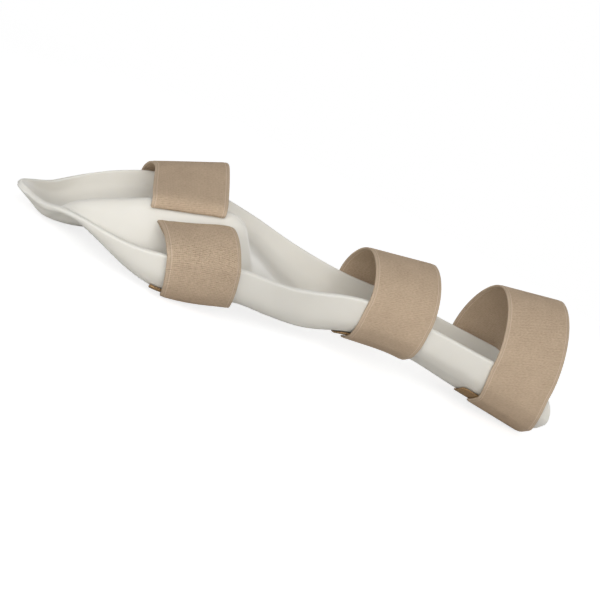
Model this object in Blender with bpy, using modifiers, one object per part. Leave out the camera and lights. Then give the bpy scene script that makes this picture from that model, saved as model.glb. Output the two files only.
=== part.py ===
"""Resting wrist splint for the right side: a moulded shell, four loop straps and their hook pads.

Metres, +Z up. The splint lies on a table with its hollow side up. The origin is on the table
under the middle of the splint, +X runs toward the elbow, +Y is the little-finger side and -Y the
thumb side. Sizes below are in millimetres, measured from the wrist, and are turned into metres
when a mesh is made.
"""
import math

import bpy
from mathutils import Vector

MM = 0.001

# Sheet and strap stock
SHEET_THICKNESS = 3.2
RIM_THICKNESS = 1.5
RIM_ROUNDING = 2.0
STRAP_WIDTH = 38.0
THUMB_STRAP_WIDTH = 34.0
STRAP_THICKNESS = 1.4
HOOK_THICKNESS = 0.8
CLEARANCE = 0.3
SEAT_CLEARANCE = 0.45
HINGE_GAP = 0.6

# The shell: its ends along X, its greatest width, its height and its round elbow corners
TIP_X = -167.0
ELBOW_X = 141.0
SHELL_WIDTH = 103.5
SHELL_HEIGHT = 47.3
ELBOW_CORNER_RADIUS = 19.0

# Finger strap: centre along X, height, rise and sideways place of its highest line
FINGER_STRAP_X = -91.3
FINGER_TOP = 64.3
FINGER_TOP_SLOPE = 0.46
FINGER_TOP_Y = 4.0
FINGER_FALL = 0.3
FINGER_PAD_INSET = 1.5

# Thumb strap: it runs askew, so its middle lies further along X from the ridge to the tail,
# and its fold climbs the ridge by part of a place across its width
THUMB_STRAP_X = -79.5
THUMB_STRAP_SKEW = 7.0
THUMB_RIDGE_LEAN = 0.25

# Wrist and forearm straps: centre along X, or its distance from the elbow end, the height of
# the arch and its rise along X, and how far the tail drifts toward the elbow
WRIST_STRAP_X = 33.5
WRIST_TOP = 65.2
WRIST_TOP_SLOPE = 0.157
WRIST_TAIL_DRIFT = 2.0
FOREARM_STRAP_INSET = 28.0
FOREARM_TOP = 75.9
FOREARM_TOP_SLOPE = 0.155
FOREARM_TAIL_DRIFT = 6.5
ARCH_FULLNESS = 1.75

# How much of a closure pad shows beside its strap, toward the tip
THUMB_PAD_SHOWS = 6.0
WRIST_PAD_SHOWS = 6.0
FOREARM_PAD_SHOWS = 9.5

# How the splint leans when it lies on a table, in degrees
STAND_ROLL = -2.93
STAND_PITCH = -1.65

# Lines of the moulded sheet's middle surface, as (x, y, z) points from the tip to the elbow end
FAR_RIM = [(-167, 4, 23.2), (-160, 16, 23.4), (-151, 26, 24.7), (-143, 32.5, 28.7), (-135, 36, 33.5),
           (-119, 39, 42), (-102, 40, 48.5), (-75, 40, 51.5), (-45, 37, 49), (-15, 31, 44),
           (16, 28, 41), (50, 29, 40.8), (94, 30.5, 37.8), (141, 33.3, 34.2)]
FLOOR = [(-167, 0, 22.5), (-162, 1.5, 19.9), (-157, 2.5, 16.6), (-150, 3.5, 13.8), (-141, 4, 14),
         (-131, 4, 16.4), (-120, 4, 20.8), (-108, 4, 27.5), (-95, 4, 34), (-80, 4, 39), (-66, 4, 40),
         (-45, 4, 34.5), (-20, 3, 24), (0, 1, 18.8), (20, 0, 18.2), (50, 0, 19.3), (94, 0, 12.9),
         (141, 0, 6.2)]
CREST = [(-167, -1.6, 22), (-158, -6.5, 17.8), (-151, -12.5, 15.6), (-146, -19, 19.6),
         (-141, -25, 26.5), (-136, -28.5, 31), (-122, -31.5, 38.5), (-108, -32.5, 45),
         (-91, -33.5, 50), (-73, -34.5, 53.5), (-64, -35, 51.5), (-57, -35, 42), (-50, -33, 31),
         (-40, -28, 24.5), (-20, -20, 17.4), (0, -14, 16.6), (20, -12, 19.2), (50, -13.5, 21),
         (94, -14, 14.9), (141, -14.9, 8.2)]
TROUGH = [(-167, -2.8, 21.8), (-158, -10.5, 19.6), (-151, -17.5, 19), (-146, -24.5, 21.8),
          (-141, -30.5, 23.2), (-136, -35, 23), (-126, -40.5, 20.4), (-113, -46, 16),
          (-104, -48.5, 13.4), (-94, -49.5, 12), (-82, -48.5, 12.8), (-73, -47.5, 14.3),
          (-59, -44, 17), (-50, -42, 17.8), (-32, -34, 16.2), (-8, -25, 16), (20, -20, 23),
          (50, -22.5, 25.4), (94, -23.5, 20.2), (141, -24.9, 13.6)]
NEAR_RIM = [(-167, -4, 21.6), (-160, -11, 21.2), (-153, -19, 21.4), (-146, -28, 23.8),
            (-134, -38.5, 25.1), (-125, -46, 25.1), (-109, -57, 26.4), (-94, -63.5, 29.9),
            (-75, -60.5, 33.1), (-58, -55, 35.1), (-45, -49.5, 34.5), (-30, -42, 33.9), (-13, -34.5, 35.8),
            (2, -30.5, 39),
            (16, -29, 41), (50, -29.5, 40.8), (94, -30.5, 37.4), (141, -33.3, 33.7)]

# Size of the lines as they are drawn above, before they are stretched to the shell's size
LINES_WIDTH = max(p[1] for p in FAR_RIM) - min(p[1] for p in NEAR_RIM)
LINES_HEIGHT = max(p[2] for p in CREST) - min(p[2] for p in FLOOR)

# Places across the sheet, counted along the section's control points from the far rim
FAR_SIDE = 0.0
NEAR_SIDE = 9.0
PLACE_STEP = 1 / 4
WALL_ANGLES = (28.0, 56.0)
WALL_FULLNESS = 2.5

# Control points between the lines, as the shares of the way sideways and in height
FOOT_SHARES = (0.62, 0.18)
SLOPE_SHARES = (0.5, 0.5)
TURN_UP_SHARES = (0.72, 0.32)

# Rows of the shell's mesh
TIP_EDGE = 0.7
TIP_LENGTH = 27.0
WEB_END_X = -44.0
TIP_ROWS = 9
HAND_ROWS = 24
FOREARM_ROWS = 16
CORNER_ANGLES = (25.0, 45.0, 60.0, 72.0, 82.0, 90.0)
EDGE_SHARE = 0.6
SHARP_ANGLE = 50.0

# Steps along and across the straps, and the smallest steps taken along the sheet
ARCH_STEPS = 12
THUMB_STEPS = 14
FINGER_STEPS = 10
STRAP_STEPS = 5
WALK_STEP = 0.05
SHORTEST_KNOT = 0.05

SHELL_COLOUR = (0.82, 0.81, 0.76, 1.0)
STRAP_COLOUR = (0.50, 0.38, 0.25, 1.0)
HOOK_COLOUR = (0.30, 0.18, 0.05, 1.0)


def clear_scene():
    for item in list(bpy.data.objects):
        bpy.data.objects.remove(item, do_unlink=True)


def hermite(p0, p1, m0, m1, t):
    """Cubic between two values with slopes given over the unit interval."""
    t2 = t * t
    t3 = t2 * t
    return ((2 * t3 - 3 * t2 + 1) * p0 + (t3 - 2 * t2 + t) * m0
            + (3 * t2 - 2 * t3) * p1 + (t3 - t2) * m1)


def curve_at(knots, points, k):
    """Smooth curve through points at increasing knots, read at k."""
    last = len(knots) - 1
    i = 0
    while i < last - 1 and k > knots[i + 1]:
        i += 1

    def slope(j):
        a = max(j - 1, 0)
        b = min(j + 1, last)
        return (points[b] - points[a]) / (knots[b] - knots[a])

    span = knots[i + 1] - knots[i]
    t = (k - knots[i]) / span
    return hermite(points[i], points[i + 1], slope(i) * span, slope(i + 1) * span, t)


def on_line(line, x):
    """The point of one of the sheet's lines at x, with the line stretched to the shell's size."""
    knots = [p[0] for p in line]
    station = x * knots[0] / TIP_X if x < 0 else x * knots[-1] / ELBOW_X
    y = curve_at(knots, [p[1] for p in line], station) * SHELL_WIDTH / LINES_WIDTH
    z = curve_at(knots, [p[2] for p in line], station) * SHELL_HEIGHT / LINES_HEIGHT
    return Vector((x, y, z))


def between(a, b, across, down):
    """A point part of the way from a to b, sideways and in height."""
    return Vector((a.x, a.y + (b.y - a.y) * across, a.z + (b.z - a.z) * down))


def section(x):
    """Control points of the sheet's cross-section at x, from the far rim to the near rim."""
    lines = (FAR_RIM, FLOOR, CREST, TROUGH, NEAR_RIM)
    far, low, crest, trough, near = (on_line(line, x) for line in lines)
    wall = []
    for angle in WALL_ANGLES:
        turn = math.radians(angle)
        wall.append(between(low, far, math.cos(turn) ** (2 / WALL_FULLNESS),
                            1 - math.sin(turn) ** (2 / WALL_FULLNESS)))
    foot = between(low, crest, *FOOT_SHARES)
    slope = between(crest, trough, *SLOPE_SHARES)
    turn_up = between(trough, near, *TURN_UP_SHARES)
    return [far, *wall, low, foot, crest, slope, trough, turn_up, near]


def sheet_point(x, place):
    """A point of the sheet's middle surface."""
    points = section(x)
    knots = [0.0]
    for a, b in zip(points, points[1:]):
        knots.append(knots[-1] + max((b - a).length, SHORTEST_KNOT))
    i = min(int(place), len(points) - 2)
    k = knots[i] + (knots[i + 1] - knots[i]) * (place - i)
    return curve_at(knots, points, k)


def sheet_normal(x, place):
    """Unit normal of the sheet, on its outer side."""
    dx = 0.5
    dp = 0.02
    lo = max(place - dp, FAR_SIDE)
    hi = min(place + dp, NEAR_SIDE)
    along = sheet_point(min(x + dx, ELBOW_X), place) - sheet_point(max(x - dx, TIP_X), place)
    across = sheet_point(x, hi) - sheet_point(x, lo)
    return along.cross(across).normalized()


def off_sheet(x, place, distance):
    """A point at a distance from the sheet's middle surface, outward positive."""
    return sheet_point(x, place) + sheet_normal(x, place) * distance


def steps(start, end, count):
    return [start + (end - start) * i / count for i in range(count + 1)]


def material(name, colour, roughness):
    made = bpy.data.materials.get(name)
    if made:
        return made
    made = bpy.data.materials.new(name)
    made.use_nodes = True
    shader = made.node_tree.nodes["Principled BSDF"]
    shader.inputs["Base Color"].default_value = colour
    shader.inputs["Roughness"].default_value = roughness
    shader.inputs["Metallic"].default_value = 0.0
    return made


def grid_object(name, rows, thickness, finish, stand, origin=None, thin_edges=False):
    """An open surface of rows of points, thickened about its middle."""
    origin = origin or Vector((0, 0, 0))
    width = len(rows[0])
    points = [(p - origin) * MM for row in rows for p in row]
    faces = []
    for r in range(len(rows) - 1):
        for c in range(width - 1):
            first = r * width + c
            faces.append((first, first + 1, first + width + 1, first + width))
    mesh = bpy.data.meshes.new(name)
    mesh.from_pydata(points, [], faces)
    mesh.shade_smooth()
    mesh.set_sharp_from_angle(angle=math.radians(SHARP_ANGLE))
    made = bpy.data.objects.new(name, mesh)
    made.location = origin * MM
    made.parent = stand
    mesh.materials.append(finish)
    stand.users_collection[0].objects.link(made)
    thick = made.modifiers.new("Thickness", "SOLIDIFY")
    thick.thickness = thickness * MM
    thick.offset = 0.0
    thick.use_quality_normals = True
    if thin_edges:
        inner = made.vertex_groups.new(name="full thickness")
        edge_rows = {0, len(rows) - 1}
        edge_columns = {0, width - 1}
        full = [r * width + c for r in range(len(rows)) for c in range(width)
                if r not in edge_rows and c not in edge_columns]
        inner.add(full, 1.0, "REPLACE")
        thick.vertex_group = inner.name
        thick.thickness_vertex_group = RIM_THICKNESS / SHEET_THICKNESS
    return made


def elbow_trim(x):
    """How much of the wall is cut away at x by the round corners of the elbow end."""
    into = x - (ELBOW_X - ELBOW_CORNER_RADIUS)
    if into <= 0:
        return 0.0
    return ELBOW_CORNER_RADIUS - math.sqrt(max(ELBOW_CORNER_RADIUS ** 2 - into ** 2, 0.0))


def place_from_rim(x, distance, rim):
    """The place that lies a distance down the wall from the far or the near rim."""
    step = WALK_STEP if rim == FAR_SIDE else -WALK_STEP
    place = rim
    walked = 0.0
    stride = 1.0
    here = sheet_point(x, place)
    while walked < distance:
        place += step
        there = sheet_point(x, place)
        stride = (there - here).length
        walked += stride
        here = there
    return place - step * (walked - distance) / stride


def shell(stand):
    """The moulded sheet: rows along X, each from the far rim to the near rim."""
    corner = ELBOW_X - ELBOW_CORNER_RADIUS
    pan = TIP_X + TIP_LENGTH
    stations = [TIP_X, TIP_X + TIP_EDGE]
    stations += steps(TIP_X + RIM_ROUNDING, pan, TIP_ROWS)
    stations += steps(pan, WEB_END_X, HAND_ROWS)[1:]
    stations += steps(WEB_END_X, corner, FOREARM_ROWS)[1:]
    stations += [corner + ELBOW_CORNER_RADIUS * math.sin(math.radians(a)) for a in CORNER_ANGLES]
    columns = round((NEAR_SIDE - FAR_SIDE) / PLACE_STEP)
    rows = []
    for x in stations:
        cut = elbow_trim(x)
        first = place_from_rim(x, cut, FAR_SIDE)
        last = place_from_rim(x, cut, NEAR_SIDE)
        even = steps(first, last, columns)
        inset = EDGE_SHARE * PLACE_STEP
        first_in = min(place_from_rim(x, cut + RIM_ROUNDING, FAR_SIDE), first + inset)
        last_in = max(place_from_rim(x, cut + RIM_ROUNDING, NEAR_SIDE), last - inset)
        row = [first, first_in, *even[1:-1], last_in, last]
        rows.append([sheet_point(x, place) for place in row])
    return grid_object("splint_shell", rows, SHEET_THICKNESS,
                       material("Moulded plastic", SHELL_COLOUR, 0.45), stand, thin_edges=True)


# Layers over the sheet, each as the distance of its middle from the sheet's middle surface
PAD_LAYER = SHEET_THICKNESS / 2 + SEAT_CLEARANCE + HOOK_THICKNESS / 2
STRAP_LAYER = PAD_LAYER + HOOK_THICKNESS / 2 + CLEARANCE + STRAP_THICKNESS / 2
WALL_LAYER = SHEET_THICKNESS / 2 + SEAT_CLEARANCE + STRAP_THICKNESS / 2
THUMB_TAIL_LAYER = PAD_LAYER + HOOK_THICKNESS / 2 + SEAT_CLEARANCE + STRAP_THICKNESS / 2

# Places where the pieces on the sheet begin and end
WRAP_ANCHOR_END = 2.25
WRAP_ANCHOR_PAD = (0.75, 2.0)
WRAP_CLOSURE_PAD = (4.0, 6.25)
WRAP_TAIL_END = 4.25
WRAP_TAIL_RAMP = (6.5, 7.75)
WRAP_DRIFT_END = 6.25
FINGER_ANCHOR_END = 2.5
FINGER_PAD = (0.5, 2.25)
FINGER_CLOSURE_PAD = (4.75, 5.25)
FINGER_LANDING = (5.0, 5.25)
THUMB_ANCHOR = (5.9, 5.55)
THUMB_ANCHOR_PAD = (5.9, 5.7)
THUMB_TAIL_END = 7.0
THUMB_PAD = (7.0, 7.5)


def places(start, end):
    """Places from start to end in even steps, the same for every layer of the stack."""
    return steps(start, end, math.ceil(abs(end - start) / PLACE_STEP))


def across(centre, run):
    """Stations along X across a strap's width."""
    return steps(centre - run / 2, centre + run / 2, STRAP_STEPS)


def lay(stations, run, layer, shift=lambda place: 0.0):
    """Rows of points on a layer of the sheet; the layer and the shift along X may vary by place."""
    height = layer if callable(layer) else (lambda place: layer)
    return [[off_sheet(x + shift(place), place, height(place)) for place in places(*run)]
            for x in stations]


def straighten(rows, column):
    """Draw one column of points out into a straight line, for a strap that folds there."""
    first = rows[0][column].copy()
    last = rows[-1][column].copy()
    for r, row in enumerate(rows):
        row[column] = first.lerp(last, r / (len(rows) - 1))


def quarter(start, end, count, fullness, rising):
    """A quarter of a superellipse, upright where it starts if rising and level where it ends."""
    points = []
    for angle in steps(0.0, math.pi / 2, count):
        c = max(math.cos(angle), 0.0) ** (2 / fullness)
        s = math.sin(angle) ** (2 / fullness)
        y_share = 1 - c if rising else s
        z_share = s if rising else 1 - c
        points.append(Vector((start.x + (end.x - start.x) * angle * 2 / math.pi,
                              start.y + (end.y - start.y) * y_share,
                              start.z + (end.z - start.z) * z_share)))
    return points


def lifted(rows, column, height):
    return [row[column] + Vector((0, 0, height)) for row in rows]


def hinge(line, sideways, upward, turn):
    """Middle and direction of a fold line, moved from the strap's middle to its outer corner."""
    middle = (line[0] + line[-1]) / 2 + Vector((0, sideways, upward))
    return middle, (line[-1] - line[0]).normalized() * turn


def eased(value, start, end):
    """How far a value has come from start to end, from 0 to 1, eased at both ends."""
    t = min(max((value - start) / (end - start), 0.0), 1.0)
    return t * t * (3 - 2 * t)


def wrap_strap(name, centre, arch_top, tail_drift, pad_shows, finishes, stand):
    """A strap round the shell: an end held on the far wall, an arch, and a tail down the near wall."""
    strap_finish, hook_finish = finishes
    top, slope = arch_top
    stations = across(centre, STRAP_WIDTH)

    def tail_layer(place):
        return STRAP_LAYER + (WALL_LAYER - STRAP_LAYER) * eased(place, *WRAP_TAIL_RAMP)

    def at_tail(place):
        return tail_drift * eased(place, NEAR_SIDE, WRAP_DRIFT_END)

    def at_pad(place):
        return at_tail(place) - pad_shows

    anchor_pad = lay(stations, WRAP_ANCHOR_PAD, PAD_LAYER)
    closure_pad = lay(stations, WRAP_CLOSURE_PAD, PAD_LAYER, at_pad)
    anchor = lay(stations, (WRAP_ANCHOR_END, FAR_SIDE), STRAP_LAYER)
    straighten(anchor, -1)
    tail = lay(stations, (NEAR_SIDE, WRAP_TAIL_END), tail_layer, at_tail)
    straighten(tail, 0)
    starts = lifted(anchor, -1, HINGE_GAP)
    ends = lifted(tail, 0, HINGE_GAP)
    arch = []
    for x, start, end in zip(stations, starts, ends):
        apex = Vector((x, (start.y + end.y) / 2, top + slope * (x - centre)))
        up = quarter(start, apex, ARCH_STEPS, ARCH_FULLNESS, True)
        down = quarter(end, apex, ARCH_STEPS, ARCH_FULLNESS, True)
        arch.append(up + down[-2::-1])

    half = STRAP_THICKNESS / 2
    far_fold = hinge(starts, half, -HINGE_GAP / 2, -1)
    near_fold = hinge(ends, -half, -HINGE_GAP / 2, -1)
    grid_object(name + "_anchor_pad", anchor_pad, HOOK_THICKNESS, hook_finish, stand)
    grid_object(name + "_closure_pad", closure_pad, HOOK_THICKNESS, hook_finish, stand)
    grid_object(name + "_strap_anchor", anchor, STRAP_THICKNESS, strap_finish, stand)
    grid_object(name + "_strap", arch, STRAP_THICKNESS, strap_finish, stand, far_fold[0])
    grid_object(name + "_strap_tail", tail, STRAP_THICKNESS, strap_finish, stand, near_fold[0])
    return {name + "_strap_swing": far_fold, name + "_strap_tail_peel": near_fold}


def finger_strap(finishes, stand):
    """A strap from the far wall over the pan, pressed down on the web ridge."""
    strap_finish, hook_finish = finishes
    run = STRAP_WIDTH * math.cos(math.atan(FINGER_TOP_SLOPE))
    stations = across(FINGER_STRAP_X, run)
    anchor_pad = lay(stations, FINGER_PAD, PAD_LAYER)
    anchor = lay(stations, (FAR_SIDE, FINGER_ANCHOR_END), STRAP_LAYER)
    straighten(anchor, 0)
    inner = across(FINGER_STRAP_X, run - 2 * FINGER_PAD_INSET)
    closure_pad = lay(inner, FINGER_CLOSURE_PAD, -PAD_LAYER)
    landing = lay(stations, FINGER_LANDING, -STRAP_LAYER)
    starts = lifted(anchor, 0, HINGE_GAP)
    strap = []
    for x, start, end in zip(stations, starts, landing):
        apex = Vector((x, FINGER_TOP_Y, FINGER_TOP + FINGER_TOP_SLOPE * (x - FINGER_STRAP_X)))
        up = quarter(start, apex, FINGER_STEPS, ARCH_FULLNESS, True)
        reach = (end[0] - apex).length
        level = Vector((0, -reach, -reach * FINGER_FALL))
        press = (end[1] - end[0]).normalized() * reach / 2
        down = [hermite(apex, end[0], level, press, t) for t in steps(0.0, 1.0, FINGER_STEPS)]
        strap.append(up + down[1:] + end[1:])

    half = STRAP_THICKNESS / 2
    fold = hinge(starts, half, -HINGE_GAP / 2, -1)
    grid_object("finger_anchor_pad", anchor_pad, HOOK_THICKNESS, hook_finish, stand)
    grid_object("finger_closure_pad", closure_pad, HOOK_THICKNESS, hook_finish, stand)
    grid_object("finger_strap_anchor", anchor, STRAP_THICKNESS, strap_finish, stand)
    grid_object("finger_strap", strap, STRAP_THICKNESS, strap_finish, stand, fold[0])
    return {"finger_strap_swing": fold}


def thumb_strap(finishes, stand):
    """A strap from the side of the web ridge over the thumb trough, round the near wall and under it.

    The end held on the ridge is cut one station narrower, so that the strap hides it.
    """
    strap_finish, hook_finish = finishes
    stations = across(THUMB_STRAP_X, THUMB_STRAP_WIDTH)

    def on_ridge(run, layer):
        leans = steps(THUMB_RIDGE_LEAN / 2, -THUMB_RIDGE_LEAN / 2, len(stations) - 1)
        return [lay([x - THUMB_STRAP_SKEW], (run[0] + lean, run[1] + lean), layer)[0]
                for x, lean in zip(stations, leans)]

    def at_tail(place):
        return THUMB_STRAP_SKEW * (NEAR_SIDE - place) / (NEAR_SIDE - THUMB_TAIL_END)

    def at_pad(place):
        return at_tail(place) - THUMB_PAD_SHOWS

    anchor_pad = on_ridge(THUMB_ANCHOR_PAD, -PAD_LAYER)
    anchor = on_ridge(THUMB_ANCHOR, -STRAP_LAYER)
    straighten(anchor, -1)
    closure_pad = lay(stations, THUMB_PAD, PAD_LAYER, at_pad)
    tail = lay(stations, (NEAR_SIDE, THUMB_TAIL_END), THUMB_TAIL_LAYER, at_tail)
    straighten(tail, 0)
    half = STRAP_THICKNESS / 2
    starts = lifted(anchor, -1, half + HINGE_GAP)
    ends = lifted(tail, 0, HINGE_GAP)
    strap = [quarter(start, end, THUMB_STEPS, ARCH_FULLNESS, False) for start, end in zip(starts, ends)]

    ridge_fold = hinge(starts, 0.0, half, -1)
    rim_fold = hinge(ends, -half, -HINGE_GAP / 2, -1)
    grid_object("thumb_anchor_pad", anchor_pad[1:], HOOK_THICKNESS, hook_finish, stand)
    grid_object("thumb_closure_pad", closure_pad, HOOK_THICKNESS, hook_finish, stand)
    grid_object("thumb_strap_anchor", anchor[1:], STRAP_THICKNESS, strap_finish, stand)
    grid_object("thumb_strap", strap, STRAP_THICKNESS, strap_finish, stand, ridge_fold[0])
    grid_object("thumb_strap_tail", tail, STRAP_THICKNESS, strap_finish, stand, rim_fold[0])
    return {"thumb_strap_swing": ridge_fold, "thumb_strap_tail_peel": rim_fold}


def stand_on_table(stand, collection):
    """Lean the splint as it lies, and move it so that its box stands on the origin."""
    stand.rotation_euler = (math.radians(STAND_ROLL), math.radians(STAND_PITCH), 0.0)
    view = bpy.context.view_layer
    view.update()
    graph = bpy.context.evaluated_depsgraph_get()
    corners = []
    for item in collection.objects:
        if item.type == "MESH":
            solid = item.evaluated_get(graph)
            corners += [solid.matrix_world @ v.co for v in solid.data.vertices]
    low = [min(p[i] for p in corners) for i in range(3)]
    high = [max(p[i] for p in corners) for i in range(3)]
    stand.location = (-(low[0] + high[0]) / 2, -(low[1] + high[1]) / 2, -low[2])
    view.update()


def print_folds(folds, stand):
    """Where each fold lies once the splint stands on the table."""
    for name, (middle, axis) in folds.items():
        place = stand.matrix_world @ (middle * MM)
        turned = stand.matrix_world.to_3x3() @ axis
        print("fold", name, [round(v, 6) for v in place], [round(v, 6) for v in turned])


def main():
    clear_scene()
    collection = bpy.data.collections.new("Wrist splint")
    bpy.context.scene.collection.children.link(collection)
    stand = bpy.data.objects.new("splint_stand", None)
    collection.objects.link(stand)
    finishes = (material("Loop strap", STRAP_COLOUR, 0.9), material("Hook tape", HOOK_COLOUR, 0.7))
    shell(stand)
    folds = {}
    folds.update(finger_strap(finishes, stand))
    folds.update(thumb_strap(finishes, stand))
    folds.update(wrap_strap("wrist", WRIST_STRAP_X, (WRIST_TOP, WRIST_TOP_SLOPE),
                            WRIST_TAIL_DRIFT, WRIST_PAD_SHOWS, finishes, stand))
    folds.update(wrap_strap("forearm", ELBOW_X - FOREARM_STRAP_INSET, (FOREARM_TOP, FOREARM_TOP_SLOPE),
                            FOREARM_TAIL_DRIFT, FOREARM_PAD_SHOWS, finishes, stand))
    stand_on_table(stand, collection)
    print_folds(folds, stand)


main()
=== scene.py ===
# %% [markdown]
# # Dressing a resting wrist splint
# The CAD frame holds the splint as plain solids: a moulded shell, four loop straps and the hook
# pads under them. This lesson gives each of them its real surface. The sheet is modelled again
# with a finer mesh and a softened edge, each strap becomes one length of webbing that bends at
# its folds, and the pads become hook tape. Everything stays in the CAD's own frame, in metres.

# %% Load the frame
import collections
import functools
import math

import bpy
from mathutils import Euler, Matrix, Vector, noise as solid_noise
from mathutils.kdtree import KDTree


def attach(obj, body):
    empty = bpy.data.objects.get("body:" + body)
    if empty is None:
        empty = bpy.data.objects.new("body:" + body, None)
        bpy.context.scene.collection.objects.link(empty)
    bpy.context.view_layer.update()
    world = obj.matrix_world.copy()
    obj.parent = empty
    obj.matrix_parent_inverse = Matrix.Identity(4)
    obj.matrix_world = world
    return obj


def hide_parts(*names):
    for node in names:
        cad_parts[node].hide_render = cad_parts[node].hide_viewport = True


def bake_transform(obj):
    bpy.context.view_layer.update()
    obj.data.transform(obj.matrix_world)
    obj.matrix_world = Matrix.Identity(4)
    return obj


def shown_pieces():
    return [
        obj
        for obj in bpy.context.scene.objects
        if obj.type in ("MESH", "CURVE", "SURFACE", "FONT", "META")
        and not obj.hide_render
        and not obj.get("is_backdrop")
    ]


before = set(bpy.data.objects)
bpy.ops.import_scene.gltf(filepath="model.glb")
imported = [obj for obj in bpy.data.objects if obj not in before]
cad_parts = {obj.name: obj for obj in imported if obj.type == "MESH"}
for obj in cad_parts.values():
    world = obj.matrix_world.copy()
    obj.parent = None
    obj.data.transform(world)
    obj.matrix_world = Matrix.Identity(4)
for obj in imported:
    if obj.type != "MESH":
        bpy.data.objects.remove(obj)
bpy.ops.object.select_all(action="DESELECT")
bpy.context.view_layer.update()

# %% [markdown]
# ## Camera
# The photograph looks at the thumb side from a little above, with the picture turned so that
# the elbow end falls away to the right. A camera could be aimed with a Track To constraint, but
# a plain place and turn are easier to read and to keep.

# %% Camera
CAMERA_PLACE = (-0.1905, -0.5627, 0.1470)
CAMERA_TURN = (75.985, -27.919, -12.071)
CAMERA_LENS = 69.5
CAMERA_SENSOR = 36.0
bpy.ops.object.camera_add(location=CAMERA_PLACE, rotation=[math.radians(a) for a in CAMERA_TURN])
camera = bpy.context.object
camera.data.lens = CAMERA_LENS
camera.data.sensor_width = CAMERA_SENSOR
bpy.context.scene.camera = camera
bpy.context.scene.view_settings.view_transform = "Standard"
print("camera at", tuple(camera.location), "with a lens of", CAMERA_LENS, "mm")

# %% [markdown]
# ## Short calls for shader nodes
# The floor, the world and every finish are small networks of shader nodes. Each node could be
# added, set and linked line by line, but a helper that takes the inputs by name lets a network
# read from top to bottom. An input with a plain value is set on its own socket.

# %% Shader helpers
WHITE = (1, 1, 1, 1)


def set_inputs(tree, node, inputs):
    """Give each input a plain value, or link it to another node's output."""
    for socket, value in inputs.items():
        if isinstance(value, bpy.types.NodeSocket):
            tree.links.new(value, node.inputs[socket])
        else:
            node.inputs[socket].default_value = value


def add_node(tree, kind, inputs, **settings):
    node = tree.nodes.new("ShaderNode" + kind)
    for setting, value in settings.items():
        setattr(node, setting, value)
    set_inputs(tree, node, inputs)
    return node


def math_node(tree, operation, a, b=0.0):
    return add_node(tree, "Math", {0: a, 1: b}, operation=operation).outputs[0]


def map_range(tree, value, source, target=(0.0, 1.0), interpolation="LINEAR"):
    inputs = {"Value": value, "From Min": source[0], "From Max": source[1],
              "To Min": target[0], "To Max": target[1]}
    return add_node(tree, "MapRange", inputs, interpolation_type=interpolation).outputs["Result"]


print("shader helpers ready")

# %% [markdown]
# ## Floor
# The picture has a bare white ground. A shadow catcher would need render settings, so the floor
# is a plain pale plane: the camera sees it with a share of its own light added, so it reads as
# white and still takes a soft shadow, and every other ray meets ordinary matte white. Further
# out it gives way to pure white, so that its edge never shows against the world.

# %% Floor
FLOOR_SIZE = 8.0
FLOOR_DROP = -0.0004
FLOOR_MATTE = (0.80, 0.80, 0.80, 1)
FLOOR_SHADED = (0.50, 0.50, 0.50, 1)
FLOOR_GLOW = 0.76
SHADOW_GROUND = (0.45, 0.80)
bpy.ops.mesh.primitive_plane_add(size=FLOOR_SIZE, location=(0, 0, FLOOR_DROP))
floor = bpy.context.object
floor.name = "floor"
floor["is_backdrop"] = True

ground = bpy.data.materials.new("Pale ground")
ground.use_nodes = True
tree = ground.node_tree
tree.nodes.clear()
to_camera = add_node(tree, "LightPath", {}).outputs["Is Camera Ray"]
matte = add_node(tree, "BsdfDiffuse", {"Color": FLOOR_MATTE})
shaded = add_node(tree, "BsdfDiffuse", {"Color": FLOOR_SHADED})
glow = add_node(tree, "Emission", {"Strength": FLOOR_GLOW})
near_by = add_node(tree, "AddShader", {0: shaded.outputs[0], 1: glow.outputs[0]})
far_off = add_node(tree, "Emission", {"Strength": 1.0})
spot = add_node(tree, "TexCoord", {}).outputs["Object"]
distance = add_node(tree, "VectorMath", {0: spot}, operation="LENGTH").outputs["Value"]
fade = map_range(tree, distance, SHADOW_GROUND, interpolation="SMOOTHSTEP")
seen = add_node(tree, "MixShader", {0: fade, 1: near_by.outputs[0], 2: far_off.outputs[0]})
pick = add_node(tree, "MixShader", {0: to_camera, 1: matte.outputs[0], 2: seen.outputs[0]})
add_node(tree, "OutputMaterial", {"Surface": pick.outputs[0]})
floor.data.materials.append(ground)
print("floor at", FLOOR_DROP)

# %% [markdown]
# ## World
# One even white sky would be the shortest way to light the splint, but it flattens the straps.
# So the world is white where the camera sees it, directly, in a reflection or through something
# clear, and it lights the splint as a dim sky that darkens overhead.

# %% World
SKY_AT_EYE_LEVEL = 0.56
SKY_OVERHEAD = 0.04
world = bpy.data.worlds.new("White studio")
bpy.context.scene.world = world
world.use_nodes = True
tree = world.node_tree
tree.nodes.clear()
rays = add_node(tree, "LightPath", {})
direction = add_node(tree, "TexCoord", {}).outputs["Generated"]
upward = add_node(tree, "SeparateXYZ", {0: direction}).outputs["Z"]
strength = map_range(tree, upward, (0.0, 1.0), (SKY_AT_EYE_LEVEL, SKY_OVERHEAD))
lit = add_node(tree, "Background", {"Color": WHITE, "Strength": strength})
white = add_node(tree, "Background", {"Color": WHITE, "Strength": 1.0})
seen = math_node(tree, "MAXIMUM", rays.outputs["Is Camera Ray"], rays.outputs["Is Glossy Ray"])
seen = math_node(tree, "MAXIMUM", seen, rays.outputs["Is Transmission Ray"])
pick = add_node(tree, "MixShader", {0: seen, 1: lit.outputs[0], 2: white.outputs[0]})
add_node(tree, "OutputWorld", {"Surface": pick.outputs[0]})
print("sky", SKY_AT_EYE_LEVEL, "to", SKY_OVERHEAD)

# %% [markdown]
# ## Lamps
# The light falls from the front. A single lamp would throw one heavy shadow, so three large
# ones stand round the camera, low, high and to its left. A weak one hangs above, and one low at
# the back keeps the far side from going dark.

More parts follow.
